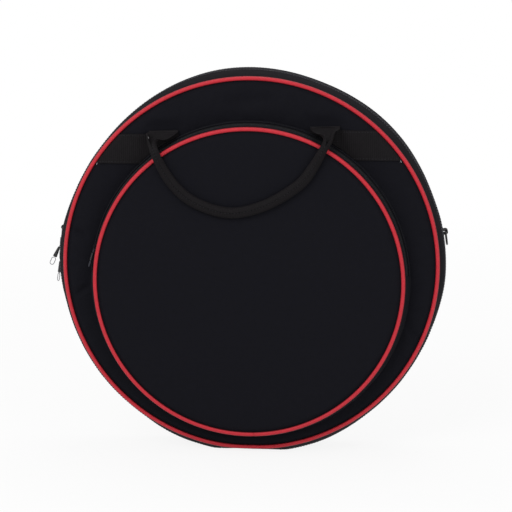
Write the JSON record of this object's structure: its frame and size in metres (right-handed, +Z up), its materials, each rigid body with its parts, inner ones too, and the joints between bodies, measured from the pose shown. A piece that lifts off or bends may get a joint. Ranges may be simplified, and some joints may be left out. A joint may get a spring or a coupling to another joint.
{
  "type": "cymbal bag",
  "caption": "Round padded cymbal bag with a zipped lid, a round front pocket, piped edges, folded webbing carrying handles and strap rings at its sides.",
  "frame": {"origin": "the middle of the flat that the bag stands on, midway between the piped edges of its two faces", "axes": "+Z up, -Y out of the front with the pocket, +X to the right as seen from the front"},
  "size_m": [0.5526, 0.1265, 0.5264],
  "materials": {
    "black_polyester": "woven, matt",
    "black_webbing": "ribbed webbing",
    "red_piping": "satin",
    "foam": "closed-cell foam",
    "lining": "smooth, thin",
    "zip_tape": "knitted tape",
    "nylon_coil": "nylon coil",
    "core_cord": "plain cord",
    "black_zinc": "black plated",
    "black_enamel": "black enamel",
    "moulded_grip": "moulded",
    "grey_cord": "thin braided cord"
  },
  "bodies": {
    "rear_shell": {"rear_panel": "black_polyester", "rear_foam": "foam", "rear_lining": "lining", "rear_piping": "red_piping", "rear_gusset_strip": "black_polyester", "rear_zip_tape": "zip_tape", "rear_zip_coil": "nylon_coil", "bottom_gusset": "black_polyester", "left_ring_tab": "black_webbing", "right_ring_tab": "black_webbing", "rear_left_band": "black_webbing", "rear_right_band": "black_webbing", "rear_handle_left_end": "black_webbing", "rear_handle_right_end": "black_webbing"},
    "lid": {"front_panel": "black_polyester", "front_foam": "foam", "front_lining": "lining", "front_piping": "red_piping", "front_gusset_strip": "black_polyester", "front_zip_tape": "zip_tape", "front_zip_coil": "nylon_coil", "front_left_band": "black_webbing", "front_right_band": "black_webbing", "front_handle_left_end": "black_webbing", "front_handle_right_end": "black_webbing", "pocket_rear_strip": "black_polyester", "pocket_rear_zip_tape": "zip_tape", "pocket_rear_zip_coil": "nylon_coil", "pocket_front_zip_coil": "nylon_coil", "pocket_front_zip_tape": "zip_tape", "pocket_front_strip": "black_polyester", "pocket_lower_wall": "black_polyester", "pocket_piping": "red_piping", "pocket_panel": "black_polyester", "pocket_foam": "foam", "pocket_lining": "lining"},
    "front_handle": {"front_handle_webbing": "black_webbing", "front_handle_core": "core_cord"},
    "rear_handle": {"rear_handle_webbing": "black_webbing", "rear_handle_core": "core_cord"},
    "upper_zip_slider": {"upper_slider": "black_zinc"},
    "upper_pull": {"upper_pull_link": "grey_cord", "upper_pull_grip": "moulded_grip", "upper_pull_loop": "grey_cord"},
    "lower_zip_slider": {"lower_slider": "black_zinc"},
    "lower_pull": {"lower_pull_link": "grey_cord", "lower_pull_grip": "moulded_grip", "lower_pull_loop": "grey_cord"},
    "pocket_zip_slider": {"pocket_slider": "black_zinc"},
    "pocket_pull": {"pocket_pull_link": "grey_cord", "pocket_pull_grip": "moulded_grip", "pocket_pull_loop": "grey_cord"},
    "left_ring": {"left_d_ring": "black_enamel"},
    "right_ring": {"right_d_ring": "black_enamel"}
  },
  "joints": [
    {"name": "lid_hinge", "type": "hinge", "parent": "rear_shell", "child": "lid", "pos_m": [0, -0.035, 0.00886], "axis": [1, 0, 0], "range_deg": [0, 84]},
    {"name": "front_handle_swing", "type": "hinge", "parent": "lid", "child": "front_handle", "pos_m": [-0.007, -0.04045, 0.44925], "axis": [-0.9995, 0, -0.0322], "range_deg": [0, 100]},
    {"name": "rear_handle_swing", "type": "hinge", "parent": "rear_shell", "child": "rear_handle", "pos_m": [-0.007, 0.04045, 0.44925], "axis": [0.9995, 0, 0.0322], "range_deg": [0, 145]},
    {"name": "upper_slider_run", "type": "hinge", "parent": "rear_shell", "child": "upper_zip_slider", "pos_m": [0, -0.008, 0.26072], "axis": [0, 1, 0], "range_deg": [0, 245]},
    {"name": "upper_pull_swing", "type": "hinge", "parent": "upper_zip_slider", "child": "upper_pull", "pos_m": [-0.26625, -0.008, 0.28513], "axis": [0, 1, 0], "range_deg": [0, 120]},
    {"name": "lower_slider_run", "type": "hinge", "parent": "rear_shell", "child": "lower_zip_slider", "pos_m": [0, -0.008, 0.26072], "axis": [0, 1, 0], "range_deg": [-66, 0]},
    {"name": "lower_pull_swing", "type": "hinge", "parent": "lower_zip_slider", "child": "lower_pull", "pos_m": [-0.26733, -0.008, 0.26509], "axis": [0, 1, 0], "range_deg": [0, 20]},
    {"name": "pocket_slider_run", "type": "hinge", "parent": "lid", "child": "pocket_zip_slider", "pos_m": [0, -0.04725, 0.24072], "axis": [0, 1, 0], "range_deg": [-6, 162]},
    {"name": "pocket_pull_swing", "type": "hinge", "parent": "pocket_zip_slider", "child": "pocket_pull", "pos_m": [-0.21208, -0.04829, 0.28421], "axis": [-0.3106, 0.9482, 0.066], "range_deg": [0, 120]},
    {"name": "left_ring_swing", "type": "hinge", "parent": "rear_shell", "child": "left_ring", "pos_m": [-0.26547, 0.016, 0.30515], "axis": [0, 1, 0], "range_deg": [0, 140]},
    {"name": "right_ring_swing", "type": "hinge", "parent": "rear_shell", "child": "right_ring", "pos_m": [0.26547, 0.016, 0.30515], "axis": [0, -1, 0], "range_deg": [0, 140]}
  ]
}
